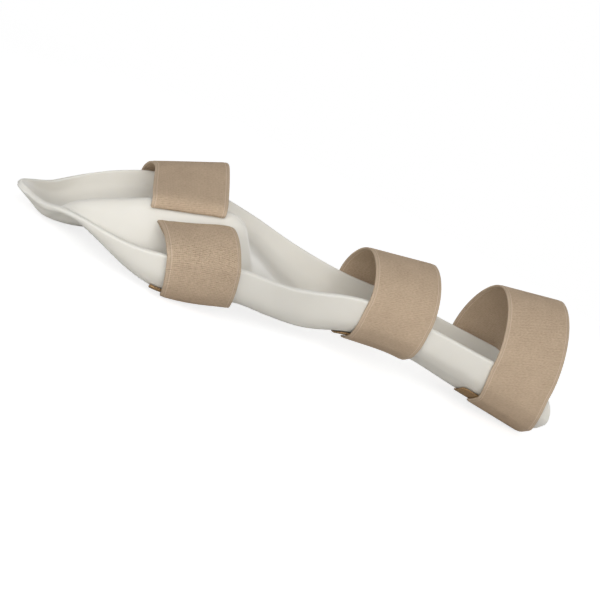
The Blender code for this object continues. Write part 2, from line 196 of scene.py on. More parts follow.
# %% Lamps
# Place in metres, width in metres and power in watts
LAMPS = {
    "front_lamp": ((-0.15, -1.00, 0.25), 0.8, 3.8),
    "high_lamp": ((-0.10, -0.80, 0.75), 0.8, 3.2),
    "left_lamp": ((-0.75, -0.70, 0.25), 0.8, 3.1),
    "top_lamp": ((0.00, 0.10, 1.10), 0.8, 1.0),
    "back_lamp": ((0.60, 0.85, 0.25), 0.9, 3.2),
}
for name, (place, size, power) in LAMPS.items():
    bpy.ops.object.light_add(type="AREA", location=place)
    lamp = bpy.context.object
    lamp.name = name
    lamp.data.size = size
    lamp.data.energy = power
    lamp.rotation_euler = (-Vector(place)).to_track_quat("-Z", "Y").to_euler()
    print(name, power, "W")

# %% [markdown]
# ## The sheet's lines
# The shell is one moulded sheet. It could be sculpted from a subdivided cage, but then its rims
# would be hard to place. Drawn as five lines that run from the tip to the elbow end, it is exact
# where it matters: the far rim, the floor, the crest of the web ridge, the thumb trough and the
# near rim. The numbers are the CAD's own, in millimetres from the wrist.

# %% Lines of the sheet
TIP_X = -167.0
ELBOW_X = 141.0
FAR_RIM = [(-167, 4, 23.2), (-160, 16, 23.4), (-151, 26, 24.7), (-143, 32.5, 28.7), (-135, 36, 33.5),
           (-119, 39, 42), (-102, 40, 48.5), (-75, 40, 51.5), (-45, 37, 49), (-15, 31, 44),
           (16, 28, 41), (50, 29, 40.8), (94, 30.5, 37.8), (141, 33.3, 34.2)]
FLOOR = [(-167, 0, 22.5), (-162, 1.5, 19.9), (-157, 2.5, 16.6), (-150, 3.5, 13.8), (-141, 4, 14),
         (-131, 4, 16.4), (-120, 4, 20.8), (-108, 4, 27.5), (-95, 4, 34), (-80, 4, 39), (-66, 4, 40),
         (-45, 4, 34.5), (-20, 3, 24), (0, 1, 18.8), (20, 0, 18.2), (50, 0, 19.3), (94, 0, 12.9),
         (141, 0, 6.2)]
CREST = [(-167, -1.6, 22), (-158, -6.5, 17.8), (-151, -12.5, 15.6), (-146, -19, 19.6),
         (-141, -25, 26.5), (-136, -28.5, 31), (-122, -31.5, 38.5), (-108, -32.5, 45),
         (-91, -33.5, 50), (-73, -34.5, 53.5), (-64, -35, 51.5), (-57, -35, 42), (-50, -33, 31),
         (-40, -28, 24.5), (-20, -20, 17.4), (0, -14, 16.6), (20, -12, 19.2), (50, -13.5, 21),
         (94, -14, 14.9), (141, -14.9, 8.2)]
TROUGH = [(-167, -2.8, 21.8), (-158, -10.5, 19.6), (-151, -17.5, 19), (-146, -24.5, 21.8),
          (-141, -30.5, 23.2), (-136, -35, 23), (-126, -40.5, 20.4), (-113, -46, 16),
          (-104, -48.5, 13.4), (-94, -49.5, 12), (-82, -48.5, 12.8), (-73, -47.5, 14.3),
          (-59, -44, 17), (-50, -42, 17.8), (-32, -34, 16.2), (-8, -25, 16), (20, -20, 23),
          (50, -22.5, 25.4), (94, -23.5, 20.2), (141, -24.9, 13.6)]
NEAR_RIM = [(-167, -4, 21.6), (-160, -11, 21.2), (-153, -19, 21.4), (-146, -28, 23.8),
            (-134, -38.5, 25.1), (-125, -46, 25.1), (-109, -57, 26.4), (-94, -63.5, 29.9),
            (-75, -60.5, 33.1), (-58, -55, 35.1), (-45, -49.5, 34.5), (-30, -42, 33.9),
            (-13, -34.5, 35.8), (2, -30.5, 39), (16, -29, 41), (50, -29.5, 40.8), (94, -30.5, 37.4),
            (141, -33.3, 33.7)]
print("the sheet runs", ELBOW_X - TIP_X, "mm from tip to elbow end")

# %% [markdown]
# ## Smooth curves through a few points
# Blender's curve objects could carry these lines, but straps and pads are laid on the sheet
# point by point, so the curves are worked out here. A Hermite curve goes through every point
# with the slope of its neighbours, and a row of points can be read at any length along it.

# %% Smooth curves
SHORTEST = 1e-9


def steps(start, end, count):
    return [start + (end - start) * i / count for i in range(count + 1)]


def hermite(p0, p1, m0, m1, t):
    t2 = t * t
    t3 = t2 * t
    return ((2 * t3 - 3 * t2 + 1) * p0 + (t3 - 2 * t2 + t) * m0
            + (3 * t2 - 2 * t3) * p1 + (t3 - t2) * m1)


def curve_at(knots, points, k):
    """Smooth curve through points at rising knots, read at k."""
    last = len(knots) - 1
    i = 0
    while i < last - 1 and k > knots[i + 1]:
        i += 1

    def slope(j):
        a = max(j - 1, 0)
        b = min(j + 1, last)
        return (points[b] - points[a]) / (knots[b] - knots[a])

    span = knots[i + 1] - knots[i]
    t = (k - knots[i]) / span
    return hermite(points[i], points[i + 1], slope(i) * span, slope(i + 1) * span, t)


def lengths_along(points):
    lengths = [0.0]
    for a, b in zip(points, points[1:]):
        lengths.append(lengths[-1] + (b - a).length)
    return lengths


def at_length(lengths, values, target):
    """The value at a length, between the two values whose lengths enclose it."""
    lo = 0
    hi = len(lengths) - 1
    while hi - lo > 1:
        mid = (lo + hi) // 2
        if lengths[mid] <= target:
            lo = mid
        else:
            hi = mid
    share = (target - lengths[lo]) / max(lengths[hi] - lengths[lo], SHORTEST)
    return values[lo] + (values[hi] - values[lo]) * share


print("the far rim is", round(lengths_along([Vector(p) for p in FAR_RIM])[-1]), "mm long")

# %% [markdown]
# ## A cross-section at any station
# A loft could join the five lines, but a strap needs to know where the sheet is under it. So
# the lines are cut at a station, control points between them round the walls, and a smooth
# curve through all ten is the section. Places count those points, from 0 at the far rim to 9 at
# the near one, and a station and a place give any point of the sheet.

# %% Cross-section
WALL_ANGLES = (28.0, 56.0)
WALL_FULLNESS = 2.5
FOOT_SHARES = (0.62, 0.18)
SLOPE_SHARES = (0.5, 0.5)
TURN_UP_SHARES = (0.72, 0.32)
FAR_SIDE = 0.0
NEAR_SIDE = 9.0
SHORTEST_KNOT = 0.05
NORMAL_STATIONS = 0.5
NORMAL_PLACES = 0.02


def on_line(line, x):
    knots = [p[0] for p in line]
    y = curve_at(knots, [p[1] for p in line], x)
    z = curve_at(knots, [p[2] for p in line], x)
    return Vector((x, y, z))


def between(a, b, across, down):
    return Vector((a.x, a.y + (b.y - a.y) * across, a.z + (b.z - a.z) * down))


@functools.lru_cache(maxsize=None)
def section(x):
    """Knots and control points of the sheet's cross-section at x, from the far rim to the near one."""
    lines = (FAR_RIM, FLOOR, CREST, TROUGH, NEAR_RIM)
    far, low, crest, trough, near = (on_line(line, x) for line in lines)
    wall = []
    for angle in WALL_ANGLES:
        turn = math.radians(angle)
        wall.append(between(low, far, math.cos(turn) ** (2 / WALL_FULLNESS),
                            1 - math.sin(turn) ** (2 / WALL_FULLNESS)))
    foot = between(low, crest, *FOOT_SHARES)
    slope = between(crest, trough, *SLOPE_SHARES)
    turn_up = between(trough, near, *TURN_UP_SHARES)
    points = [far, *wall, low, foot, crest, slope, trough, turn_up, near]
    knots = [0.0]
    for a, b in zip(points, points[1:]):
        knots.append(knots[-1] + max((b - a).length, SHORTEST_KNOT))
    return knots, points


def sheet_point(x, place):
    """A point of the sheet's middle surface; places count the control points across it."""
    knots, points = section(x)
    i = min(int(place), len(points) - 2)
    return curve_at(knots, points, knots[i] + (knots[i + 1] - knots[i]) * (place - i))


def sheet_normal(x, place):
    """Unit normal of the sheet, on its outer side."""
    lo = max(place - NORMAL_PLACES, FAR_SIDE)
    hi = min(place + NORMAL_PLACES, NEAR_SIDE)
    ahead = sheet_point(min(x + NORMAL_STATIONS, ELBOW_X), place)
    along = ahead - sheet_point(max(x - NORMAL_STATIONS, TIP_X), place)
    across = sheet_point(x, hi) - sheet_point(x, lo)
    return along.cross(across).normalized()


def off_sheet(x, place, distance):
    return sheet_point(x, place) + sheet_normal(x, place) * distance


print("section at the wrist:", [tuple(round(v, 1) for v in p) for p in section(0.0)[1]])

# %% [markdown]
# ## From a grid to a piece
# A moulded sheet, a strap and a pad are all thin and even. Each could be built face by face, but
# Blender's grid primitive already has one quad for each step along and across, so its points are
# moved to where the real surface runs. Solidify gives the thickness, and a vertex group tells it
# where the piece thins toward its edges. The grid's own UV map is rewritten in millimetres, so
# that a weave keeps its real size and follows every bend.

# %% Grid helper
MM = 0.001
# The splint leans a little as it lies, with its box centred over the origin
STAND = Matrix.Translation((13.6734, 9.7004, -7.3527))
STAND = STAND @ Euler((math.radians(-2.93), math.radians(-1.65), 0.0)).to_matrix().to_4x4()


def in_frame(point):
    return (STAND @ point) * MM


def grid_piece(name, rows, uv_rows, weights, thickness):
    """A solid piece from rows of middle points in mm, its UVs in mm and its thickness weights.

    Also returns the row of each of its points.
    """
    height = len(rows)
    width = len(rows[0])
    bpy.ops.object.select_all(action="DESELECT")
    bpy.ops.mesh.primitive_grid_add(x_subdivisions=width - 1, y_subdivisions=height - 1, size=2)
    piece = bpy.context.object
    piece.name = name
    mesh = piece.data
    mesh.name = name
    spots = [(round((v.co.y + 1) / 2 * (height - 1)), round((v.co.x + 1) / 2 * (width - 1)))
             for v in mesh.vertices]
    group = piece.vertex_groups.new(name="thickness")
    for vertex, (r, c) in zip(mesh.vertices, spots):
        vertex.co = in_frame(rows[r][c])
        group.add([vertex.index], weights[r][c], "REPLACE")
    layer = mesh.uv_layers[0]
    for loop in mesh.loops:
        r, c = spots[loop.vertex_index]
        layer.data[loop.index].uv = uv_rows[r][c]
    thick = piece.modifiers.new("Thickness", "SOLIDIFY")
    thick.thickness = thickness * MM
    thick.offset = 0.0
    thick.use_quality_normals = True
    thick.vertex_group = group.name
    thick.thickness_vertex_group = 0.0
    bpy.ops.object.modifier_apply(modifier=thick.name)
    bpy.ops.object.mode_set(mode="EDIT")
    bpy.ops.mesh.select_all(action="SELECT")
    bpy.ops.mesh.normals_make_consistent(inside=False)
    bpy.ops.object.mode_set(mode="OBJECT")
    bpy.ops.object.shade_smooth()
    print(name, len(mesh.polygons), "faces")
    # Solidify keeps the grid's points in order and adds the other side's after them
    return piece, [r for r, c in spots] * 2


print("the lines' origin lies at", tuple(round(v, 4) for v in in_frame(Vector((0, 0, 0)))))

# %% [markdown]
# ## The moulded shell
# The real shell is low-temperature plastic sheet, warmed, draped over a form and trimmed. Its
# cut edge is squared off and then softened, so the rim keeps a flat band with rounded corners.
# A bevel modifier would choke on the short edges at the tip, so the grid gets closely spaced
# rows beside the rim and the thickness weight follows a quarter circle there. Formed sheet is
# never quite true, so a slow wander of a quarter of a millimetre goes over it.

# %% Edge of the shell
SHEET = 3.2
EDGE_RADIUS = 0.95
EDGE_ANGLES = (0, 30, 60, 90)
EDGE_FLAT = 1.1
EDGE_MARGIN = 0.6
EDGE_STEPS = [EDGE_RADIUS * (1 - math.cos(math.radians(a))) for a in EDGE_ANGLES]
EDGE_STEPS += [EDGE_RADIUS + EDGE_FLAT]
EDGE_BAND = EDGE_STEPS[-1] + EDGE_MARGIN
TIP_CORNER = 2.6
ELBOW_CORNER = 19.0


def corner_cut(into, radius):
    """How much a round corner takes off a side, at a place this far into the corner."""
    if into <= 0:
        return 0.0
    return radius - math.sqrt(max(radius ** 2 - into ** 2, 0.0))


def end_trim(x):
    """How much of each side is cut away at x by the round corners of the tip and the elbow end."""
    return (corner_cut(TIP_X + TIP_CORNER - x, TIP_CORNER)
            + corner_cut(x - ELBOW_X + ELBOW_CORNER, ELBOW_CORNER))


def corner_half(distance):
    """Half thickness of the sheet at a distance from its cut edge."""
    inside = min(distance / EDGE_RADIUS, 1.0)
    return SHEET / 2 - EDGE_RADIUS + EDGE_RADIUS * math.sqrt(1 - (1 - inside) ** 2)


print("rows beside the rim, in mm from it:", [round(d, 2) for d in EDGE_STEPS])

# %% Shell
SHELL_ROWS = 190
SHELL_COLUMNS = 92
WALK_STEPS = 450
END_MARGIN = 1.0
LEAST_BANDS = 3
WANDER = 0.25
WANDER_LENGTH = 26.0


def formed(x, place):
    """A point of the sheet as it came off the form."""
    point = sheet_point(x, place)
    return point + sheet_normal(x, place) * WANDER * solid_noise.noise(point / WANDER_LENGTH)


def shell_row(x):
    """Points across the sheet at x; on the narrow tip the rows beside the rims are squeezed."""
    places = steps(FAR_SIDE, NEAR_SIDE, WALK_STEPS)
    lengths = lengths_along([sheet_point(x, p) for p in places])
    start = end_trim(x)
    end = lengths[-1] - start
    squeeze = min((end - start) / (LEAST_BANDS * EDGE_BAND), 1.0)
    run = [start + d * squeeze for d in EDGE_STEPS]
    run += steps(start + EDGE_BAND * squeeze, end - EDGE_BAND * squeeze, SHELL_COLUMNS)
    run += [end - d * squeeze for d in reversed(EDGE_STEPS)]
    return [formed(x, at_length(lengths, places, s)) for s in run]


stations = [TIP_X + d for d in EDGE_STEPS]
stations += steps(TIP_X + EDGE_STEPS[-1] + END_MARGIN, ELBOW_X - EDGE_STEPS[-1] - END_MARGIN, SHELL_ROWS)
stations += [ELBOW_X - d for d in reversed(EDGE_STEPS)]
shell_rows = [shell_row(x) for x in stations]

border = shell_rows[0] + shell_rows[-1]
border += [row[0] for row in shell_rows] + [row[-1] for row in shell_rows]
rim = KDTree(len(border))
for i, p in enumerate(border):
    rim.insert(p, i)
rim.balance()
from_edge = [[rim.find(p)[2] for p in row] for row in shell_rows]
shell_weights = [[corner_half(d) / (SHEET / 2) for d in row] for row in from_edge]
shell_uv = [[(d, p.x) for d, p in zip(edge, row)] for edge, row in zip(from_edge, shell_rows)]
shell, _ = grid_piece("shell_moulding", shell_rows, shell_uv, shell_weights, SHEET)
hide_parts("splint_shell")
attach(shell, "shell")

# %% [markdown]
# ## Loop webbing
# Each strap is one length of loop webbing with a raised pile and a thin smooth selvedge along
# both edges. It could be a thickened plane along a curve, but the straps lie on a shell that
# curves both ways, so the webbing is laid out as many lines along its length, each offset from
# the sheet by the layers under it, and the grid is drawn across them.

# %% Webbing paths
STRAP = 1.4
HOOK = 0.8
CLEARANCE = 0.3
SEAT = 0.45
HINGE_GAP = 0.6
STRAP_WIDTH = 38.0
THUMB_STRAP_WIDTH = 34.0
PAD_LAYER = SHEET / 2 + SEAT + HOOK / 2
STRAP_LAYER = PAD_LAYER + HOOK / 2 + CLEARANCE + STRAP / 2
WALL_LAYER = SHEET / 2 + SEAT + STRAP / 2
THUMB_TAIL_LAYER = PAD_LAYER + HOOK / 2 + SEAT + STRAP / 2
ARCH_FULLNESS = 1.75


def quarter(start, end, count, rising):
    """A quarter of a superellipse, upright where it starts if rising and level where it ends."""
    points = []
    for angle in steps(0.0, math.pi / 2, count):
        c = max(math.cos(angle), 0.0) ** (2 / ARCH_FULLNESS)
        s = math.sin(angle) ** (2 / ARCH_FULLNESS)
        y_share = 1 - c if rising else s
        z_share = s if rising else 1 - c
        points.append(Vector((start.x + (end.x - start.x) * angle * 2 / math.pi,
                              start.y + (end.y - start.y) * y_share,
                              start.z + (end.z - start.z) * z_share)))
    return points


def raised(point, height):
    return point + Vector((0, 0, height))


def eased(points, rounds):
    """The same line with its kinks eased and its ends kept."""
    for _ in range(rounds):
        points = ([points[0]] + [(a + 2 * b + c) / 4 for a, b, c in zip(points, points[1:], points[2:])]
                  + [points[-1]])
    return points


def even(points, count):
    lengths = lengths_along(points)
    return [at_length(lengths, points, s) for s in steps(0.0, lengths[-1], count)]


def eased_share(value, start, end):
    """How far a value has come from start to end, from 0 to 1, eased at both ends."""
    t = min(max((value - start) / (end - start), 0.0), 1.0)
    return t * t * (3 - 2 * t)


print("a strap lies", round(STRAP_LAYER - SHEET / 2 - STRAP / 2, 2), "mm off the sheet, over its pad")

# %% [markdown]
# ## Rows across a strap
# Even rows would be simplest, but the selvedges, where the pile stops, need closely spaced lines
# and the middle only wide ones. The cut ends have small round corners, which shorten the outer
# lines, and are sealed by heat, which thins them.

# %% Webbing rows
SELVEDGE = 1.5
SELVEDGE_LINES = (0.0, 0.25, 0.8, SELVEDGE - 0.3, SELVEDGE + 0.2)
PILE_START = SELVEDGE + 1.0
PILE_LINES = 18
ROW_SPACING = 1.2
EASE_ROUNDS = 6
BOUND_EDGE = 0.2
BOUND_SHARE = 0.50
SELVEDGE_SHARE = 0.80
SEALED_SHARE = 0.45


def round_end(offset, width, corner):
    """How much shorter a line is at this offset from the strap's middle, for round end corners."""
    return corner_cut(abs(offset) - (width / 2 - corner), corner)


def strap_end(width, corner):
    return lambda offset: round_end(offset, width, corner)


def webbing_offsets(width):
    half = width / 2
    edge = [half - inset for inset in SELVEDGE_LINES]
    return [-e for e in edge] + steps(PILE_START - half, half - PILE_START, PILE_LINES) + edge[::-1]


def webbing_weight(offset, width):
    """Thickness across the width: a thin bound edge, the selvedge, then the pile."""
    inset = width / 2 - abs(offset)
    if inset < BOUND_EDGE:
        return BOUND_SHARE
    return SELVEDGE_SHARE if inset < SELVEDGE else 1.0


def rows_across(columns):
    """Rows of points and rows of UVs from columns of pairs of the two."""
    rows = list(zip(*columns))
    return [[point for point, uv in row] for row in rows], [[uv for point, uv in row] for row in rows]


def webbing_rows(line, width, head_cut, foot_cut):
    """Rows of points, UVs and weights for a strap; line gives its path at an offset from its middle."""
    offsets = webbing_offsets(width)
    count = round(lengths_along(line(0.0))[-1] / ROW_SPACING)
    columns = []
    for offset in offsets:
        path = eased(even(line(offset), 2 * count), EASE_ROUNDS)
        lengths = lengths_along(path)
        stops = steps(head_cut(offset), lengths[-1] - foot_cut(offset), count)
        columns.append([(at_length(lengths, path, s), (offset, s)) for s in stops])
    rows, uv_rows = rows_across(columns)
    sealed = {0: SEALED_SHARE, count: SEALED_SHARE}
    weights = [[webbing_weight(offset, width) * sealed.get(r, 1.0) for offset in offsets]
               for r in range(count + 1)]
    return rows, uv_rows, weights


def row_near(rows, point):
    """The row whose middle lies nearest to a point in mm."""
    middle = len(rows[0]) // 2
    return min(range(len(rows)), key=lambda r: (rows[r][middle] - point).length)


print(len(webbing_offsets(STRAP_WIDTH)), "lines across a strap")

# %% [markdown]
# ## Parting a strap
# A strap that bends at two folds needs two pieces, because a blended piece can cross only one
# joint. Modelling the lengths apart would show where they meet, so the whole strap is made
# first and then parted with Separate. The cut is filled and its edge marked sharp, which keeps
# the shading of the outside running straight across it.

# %% Parting a strap
def edit_only(piece, select_mode):
    """Open one piece in edit mode with nothing selected in it."""
    bpy.ops.object.select_all(action="DESELECT")
    piece.select_set(True)
    bpy.context.view_layer.objects.active = piece
    bpy.ops.object.mode_set(mode="EDIT")
    bpy.ops.mesh.select_mode(type=select_mode)
    bpy.ops.mesh.select_all(action="DESELECT")


def close_cut(piece):
    edit_only(piece, "EDGE")
    bpy.ops.mesh.select_non_manifold(extend=False, use_wire=False, use_boundary=True, use_multi_face=False,
                                     use_non_contiguous=False, use_verts=False)
    bpy.ops.mesh.mark_sharp()
    bpy.ops.mesh.edge_face_add()
    bpy.ops.object.mode_set(mode="OBJECT")


def part_strap(piece, row_of, seam, name):
    """Part a strap at a row; the piece keeps its first length and the second is returned."""
    edit_only(piece, "FACE")
    bpy.ops.object.mode_set(mode="OBJECT")
    for face in piece.data.polygons:
        face.select = all(row_of[v] >= seam for v in face.vertices)
    bpy.ops.object.mode_set(mode="EDIT")
    bpy.ops.mesh.separate(type="SELECTED")
    bpy.ops.object.mode_set(mode="OBJECT")
    second = next(item for item in bpy.context.selected_objects if item != piece)
    second.name = name
    second.data.name = name
    for length in (piece, second):
        close_cut(length)
    print(name, "parted at row", seam, "of", max(row_of))
    return second


def bend_at(piece):
    """Bake the piece's placement into its mesh."""
    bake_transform(piece)


# %% [markdown]
# ## Wrist and forearm straps
# These two are held on a hook pad on the far wall, arch over the trough, come down the near wall
# and close on a second pad under the shell. A cloth simulation could hang them, but a strap that
# is pulled tight keeps the curve that its ends give it, so each line is two quarter arches
# between the rims. They bend at the far rim and at the near rim, and are parted on the far side
# a little above the rim, where both lengths follow the arch.

# %% Paths of the wrist and forearm straps
WRAP_ANCHOR_END = 2.25
WRAP_TAIL_END = 4.25
WRAP_TAIL_RAMP = (6.5, 7.75)
WRAP_DRIFT_END = 6.25
ANCHOR_POINTS = 24
ARCH_POINTS = 24
TAIL_POINTS = 46
# Centre along X, height and rise of the arch, drift of the tail toward the elbow
Wrap = collections.namedtuple("Wrap", "centre top rise drift")
WRAPS = {
    "wrist": Wrap(33.5, 65.2, 0.157, 2.0),
    "forearm": Wrap(ELBOW_X - 28.0, 75.9, 0.155, 6.5),
}


def wrap_tail_layer(place):
    return STRAP_LAYER + (WALL_LAYER - STRAP_LAYER) * eased_share(place, *WRAP_TAIL_RAMP)


def tail_drift(drift, place):
    return drift * eased_share(place, NEAR_SIDE, WRAP_DRIFT_END)


def wrap_line(wrap, offset):
    x = wrap.centre + offset
    anchor = [off_sheet(x, p, STRAP_LAYER) for p in steps(WRAP_ANCHOR_END, FAR_SIDE, ANCHOR_POINTS)]
    tail = [off_sheet(x + tail_drift(wrap.drift, p), p, wrap_tail_layer(p))
            for p in steps(NEAR_SIDE, WRAP_TAIL_END, TAIL_POINTS)]
    start = raised(anchor[-1], HINGE_GAP)
    end = raised(tail[0], HINGE_GAP)
    apex = Vector((x, (start.y + end.y) / 2, wrap.top + wrap.rise * offset))
    up = quarter(start, apex, ARCH_POINTS, True)
    down = quarter(end, apex, ARCH_POINTS, True)
    return anchor + up + down[-2::-1] + tail


for name, wrap in WRAPS.items():
    print(name, "strap is", round(lengths_along(wrap_line(wrap, 0.0))[-1]), "mm long")

# %% Wrist and forearm straps
WRAP_SEAM_RISE = 9.0
STRAP_CORNER = 2.0
for name, wrap in WRAPS.items():
    cut = strap_end(STRAP_WIDTH, STRAP_CORNER)
    rows, uv_rows, weights = webbing_rows(functools.partial(wrap_line, wrap), STRAP_WIDTH, cut, cut)
    strap, row_of = grid_piece(name + "_strap_end_webbing", rows, uv_rows, weights, STRAP)
    edges = (wrap.centre - STRAP_WIDTH / 2, wrap.centre + STRAP_WIDTH / 2)
    far_fold = [off_sheet(x, FAR_SIDE, STRAP_LAYER) for x in edges]
    near_fold = [off_sheet(x, NEAR_SIDE, WALL_LAYER) for x in edges]
    seam = row_near(rows, raised((far_fold[0] + far_fold[1]) / 2, WRAP_SEAM_RISE))
    over = part_strap(strap, row_of, seam, name + "_strap_webbing")
    bend_at(strap)
    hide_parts(name + "_strap_anchor")
    bend_at(over)
    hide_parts(name + "_strap", name + "_strap_tail")

# %% [markdown]
# ## Finger strap
# It is fixed on the far wall, crosses the pan and presses down on the web ridge, where its cut
# end lies flat on the sheet just past the pad. A masked Shrinkwrap modifier could press that end
# down, but it would kink where the mask stops, so each line comes down as a curve that meets the
# ridge along its slope. The strap has one fold, so it stays one piece.

# %% Path of the finger strap
FINGER_STRAP_X = -91.3
FINGER_TOP = 64.3
FINGER_TOP_RISE = 0.46
FINGER_TOP_Y = 4.0
FINGER_FALL = 0.3
FINGER_ANCHOR_END = 2.5
FINGER_ANCHOR_POINTS = 20
FINGER_LANDING = (5.0, 5.25)
FINGER_LANDING_POINTS = 8
FINGER_END_SLANT = 0.13
FINGER_END_RAMP = 0.12
FINGER_RUN = math.cos(math.atan(FINGER_TOP_RISE))
APEX_POINTS = 8
APEX_ROUNDS = 10


def finger_end_layer(place, stop):
    """The end comes down off its pad and lies on the sheet."""
    return STRAP_LAYER + (WALL_LAYER - STRAP_LAYER) * eased_share(place, stop - FINGER_END_RAMP, stop)


def finger_line(offset):
    x = FINGER_STRAP_X + offset * FINGER_RUN
    anchor = [off_sheet(x, p, STRAP_LAYER)
              for p in steps(FINGER_ANCHOR_END, FAR_SIDE, FINGER_ANCHOR_POINTS)]
    touch, stop = FINGER_LANDING
    stop += FINGER_END_SLANT * (0.5 - offset / STRAP_WIDTH)
    landing = [off_sheet(x, p, -finger_end_layer(p, stop))
               for p in steps(touch, stop, FINGER_LANDING_POINTS)]
    start = raised(anchor[-1], HINGE_GAP)
    apex = Vector((x, FINGER_TOP_Y, FINGER_TOP + FINGER_TOP_RISE * (x - FINGER_STRAP_X)))
    up = quarter(start, apex, ARCH_POINTS, True)
    reach = (landing[0] - apex).length
    level = Vector((0, -reach, -reach * FINGER_FALL))
    press = (landing[1] - landing[0]).normalized() * reach / 2
    down = [hermite(apex, landing[0], level, press, t) for t in steps(0.0, 1.0, ARCH_POINTS)][1:]
    over = eased(up[-APEX_POINTS:] + down[:APEX_POINTS], APEX_ROUNDS)
    return anchor + up[:-APEX_POINTS] + over + down[APEX_POINTS:] + landing[1:]


print("finger strap is", round(lengths_along(finger_line(0.0))[-1]), "mm long")

# %% Finger strap
FINGER_END_CORNER = 1.2
rows, uv_rows, weights = webbing_rows(finger_line, STRAP_WIDTH, strap_end(STRAP_WIDTH, STRAP_CORNER),
                                      strap_end(STRAP_WIDTH, FINGER_END_CORNER))
finger_strap, _ = grid_piece("finger_strap_webbing", rows, uv_rows, weights, STRAP)
finger_edges = [FINGER_STRAP_X + side * FINGER_RUN * STRAP_WIDTH / 2 for side in (-1, 1)]
finger_fold = [off_sheet(x, FAR_SIDE, STRAP_LAYER) for x in finger_edges]
bend_at(finger_strap)
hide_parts("finger_strap_anchor", "finger_strap")

# %% [markdown]
# ## Thumb strap
# It is fixed on the thumb side of the web ridge, doubles back at a sharp fold, crosses the thumb
# trough and closes under it. It runs a little askew. A straight strap could be turned as a
# whole, but one edge would leave the shell, so its lines are shifted along X place by place. The
# end on the ridge is trimmed at its outer corner, so that the strap hides it. The strap is
# parted on the arch.

# %% Path of the thumb strap
THUMB_STRAP_X = -79.5
THUMB_SKEW = 7.0
THUMB_RIDGE_LEAN = 0.25
THUMB_ANCHOR = (5.9, 5.55)
THUMB_TAIL_END = 7.0
THUMB_TRIM = 6.8
THUMB_ANCHOR_POINTS = 10
THUMB_ARCH_POINTS = 28
THUMB_TAIL_POINTS = 20


def thumb_tail_shift(place):
    return THUMB_SKEW * (NEAR_SIDE - place) / (NEAR_SIDE - THUMB_TAIL_END)


def on_ridge(offset, place, layer):
    lean = -THUMB_RIDGE_LEAN * offset / THUMB_STRAP_WIDTH
    return off_sheet(THUMB_STRAP_X - THUMB_SKEW + offset, place + lean, layer)


def thumb_line(offset):
    anchor = [on_ridge(offset, p, -STRAP_LAYER) for p in steps(*THUMB_ANCHOR, THUMB_ANCHOR_POINTS)]
    tail = [off_sheet(THUMB_STRAP_X + offset + thumb_tail_shift(p), p, THUMB_TAIL_LAYER)
            for p in steps(NEAR_SIDE, THUMB_TAIL_END, THUMB_TAIL_POINTS)]
    start = raised(anchor[-1], STRAP / 2 + HINGE_GAP)
    end = raised(tail[0], HINGE_GAP)
    return anchor + quarter(start, end, THUMB_ARCH_POINTS, False) + tail


def trimmed_end(offset):
    """How much of the held end is cut away: it is cut slantwise, from its lower edge up to the fold."""
    held = (on_ridge(offset, THUMB_ANCHOR[0], 0) - on_ridge(offset, THUMB_ANCHOR[1], 0)).length
    into = -offset - (THUMB_STRAP_WIDTH / 2 - THUMB_TRIM)
    return held * min(max(into / THUMB_TRIM, 0.0), 1.0)


print("thumb strap is", round(lengths_along(thumb_line(0.0))[-1]), "mm long")

# %% Thumb strap
THUMB_SEAM = Vector((0, -7.0, 0.5))
rows, uv_rows, weights = webbing_rows(thumb_line, THUMB_STRAP_WIDTH, trimmed_end,
                                      strap_end(THUMB_STRAP_WIDTH, STRAP_CORNER))
thumb_strap, row_of = grid_piece("thumb_strap_end_webbing", rows, uv_rows, weights, STRAP)
thumb_edges = (-THUMB_STRAP_WIDTH / 2, THUMB_STRAP_WIDTH / 2)
ridge_fold = [raised(on_ridge(o, THUMB_ANCHOR[1], -STRAP_LAYER), STRAP / 2) for o in thumb_edges]
rim_fold = [off_sheet(THUMB_STRAP_X + o, NEAR_SIDE, THUMB_TAIL_LAYER) for o in thumb_edges]
seam = row_near(rows, (ridge_fold[0] + ridge_fold[1]) / 2 + THUMB_SEAM)
thumb_over = part_strap(thumb_strap, row_of, seam, "thumb_strap_webbing")
bend_at(thumb_strap)
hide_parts("thumb_strap_anchor")
bend_at(thumb_over)
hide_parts("thumb_strap", "thumb_strap_tail")

# %% [markdown]
# ## Hook pads
# Each strap closes on adhesive patches of hook tape stuck on the shell. Those under the wrist,
# forearm and thumb straps are set a little toward the tip, so a strip of each shows beside its
# strap. Every hook could be modelled, but they are too fine to see, so a patch is a thin grid on
# its own layer of the sheet, with its corners cut round, and the hooks are left to its finish.

# %% Hook tape helpers
TAPE_ROWS = 1.2
TAPE_LEAST_ROWS = 4
TAPE_EDGE = 0.3
TAPE_INNER = 1.2
TAPE_LINES = 24
TAPE_EDGE_SHARE = 0.55
DEEPEST_CORNER = 0.35
POINTS_PER_PLACE = 12
LEAST_POINTS = 6


def tape_weight(offset, width):
    return TAPE_EDGE_SHARE if width / 2 - abs(offset) < BOUND_EDGE else 1.0


def hook_tape(name, node, line, width, corner):
    """A patch of hook tape along lines of points at offsets from its middle."""
    half = width / 2
    inner = steps(TAPE_INNER - half, half - TAPE_INNER, TAPE_LINES)
    offsets = [-half, TAPE_EDGE - half] + inner + [half - TAPE_EDGE, half]
    count = max(round(lengths_along(line(0.0))[-1] / TAPE_ROWS), TAPE_LEAST_ROWS)
    columns = []
    for offset in offsets:
        path = line(offset)
        lengths = lengths_along(path)
        cut = min(round_end(offset, width, corner), lengths[-1] * DEEPEST_CORNER)
        stops = steps(cut, lengths[-1] - cut, count)
        columns.append([(at_length(lengths, path, s), (offset, s)) for s in stops])
    rows, uv_rows = rows_across(columns)
    weights = [[tape_weight(offset, width) for offset in offsets] for _ in rows]
    piece, _ = grid_piece(name, rows, uv_rows, weights, HOOK)
    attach(piece, "shell")
    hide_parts(node)


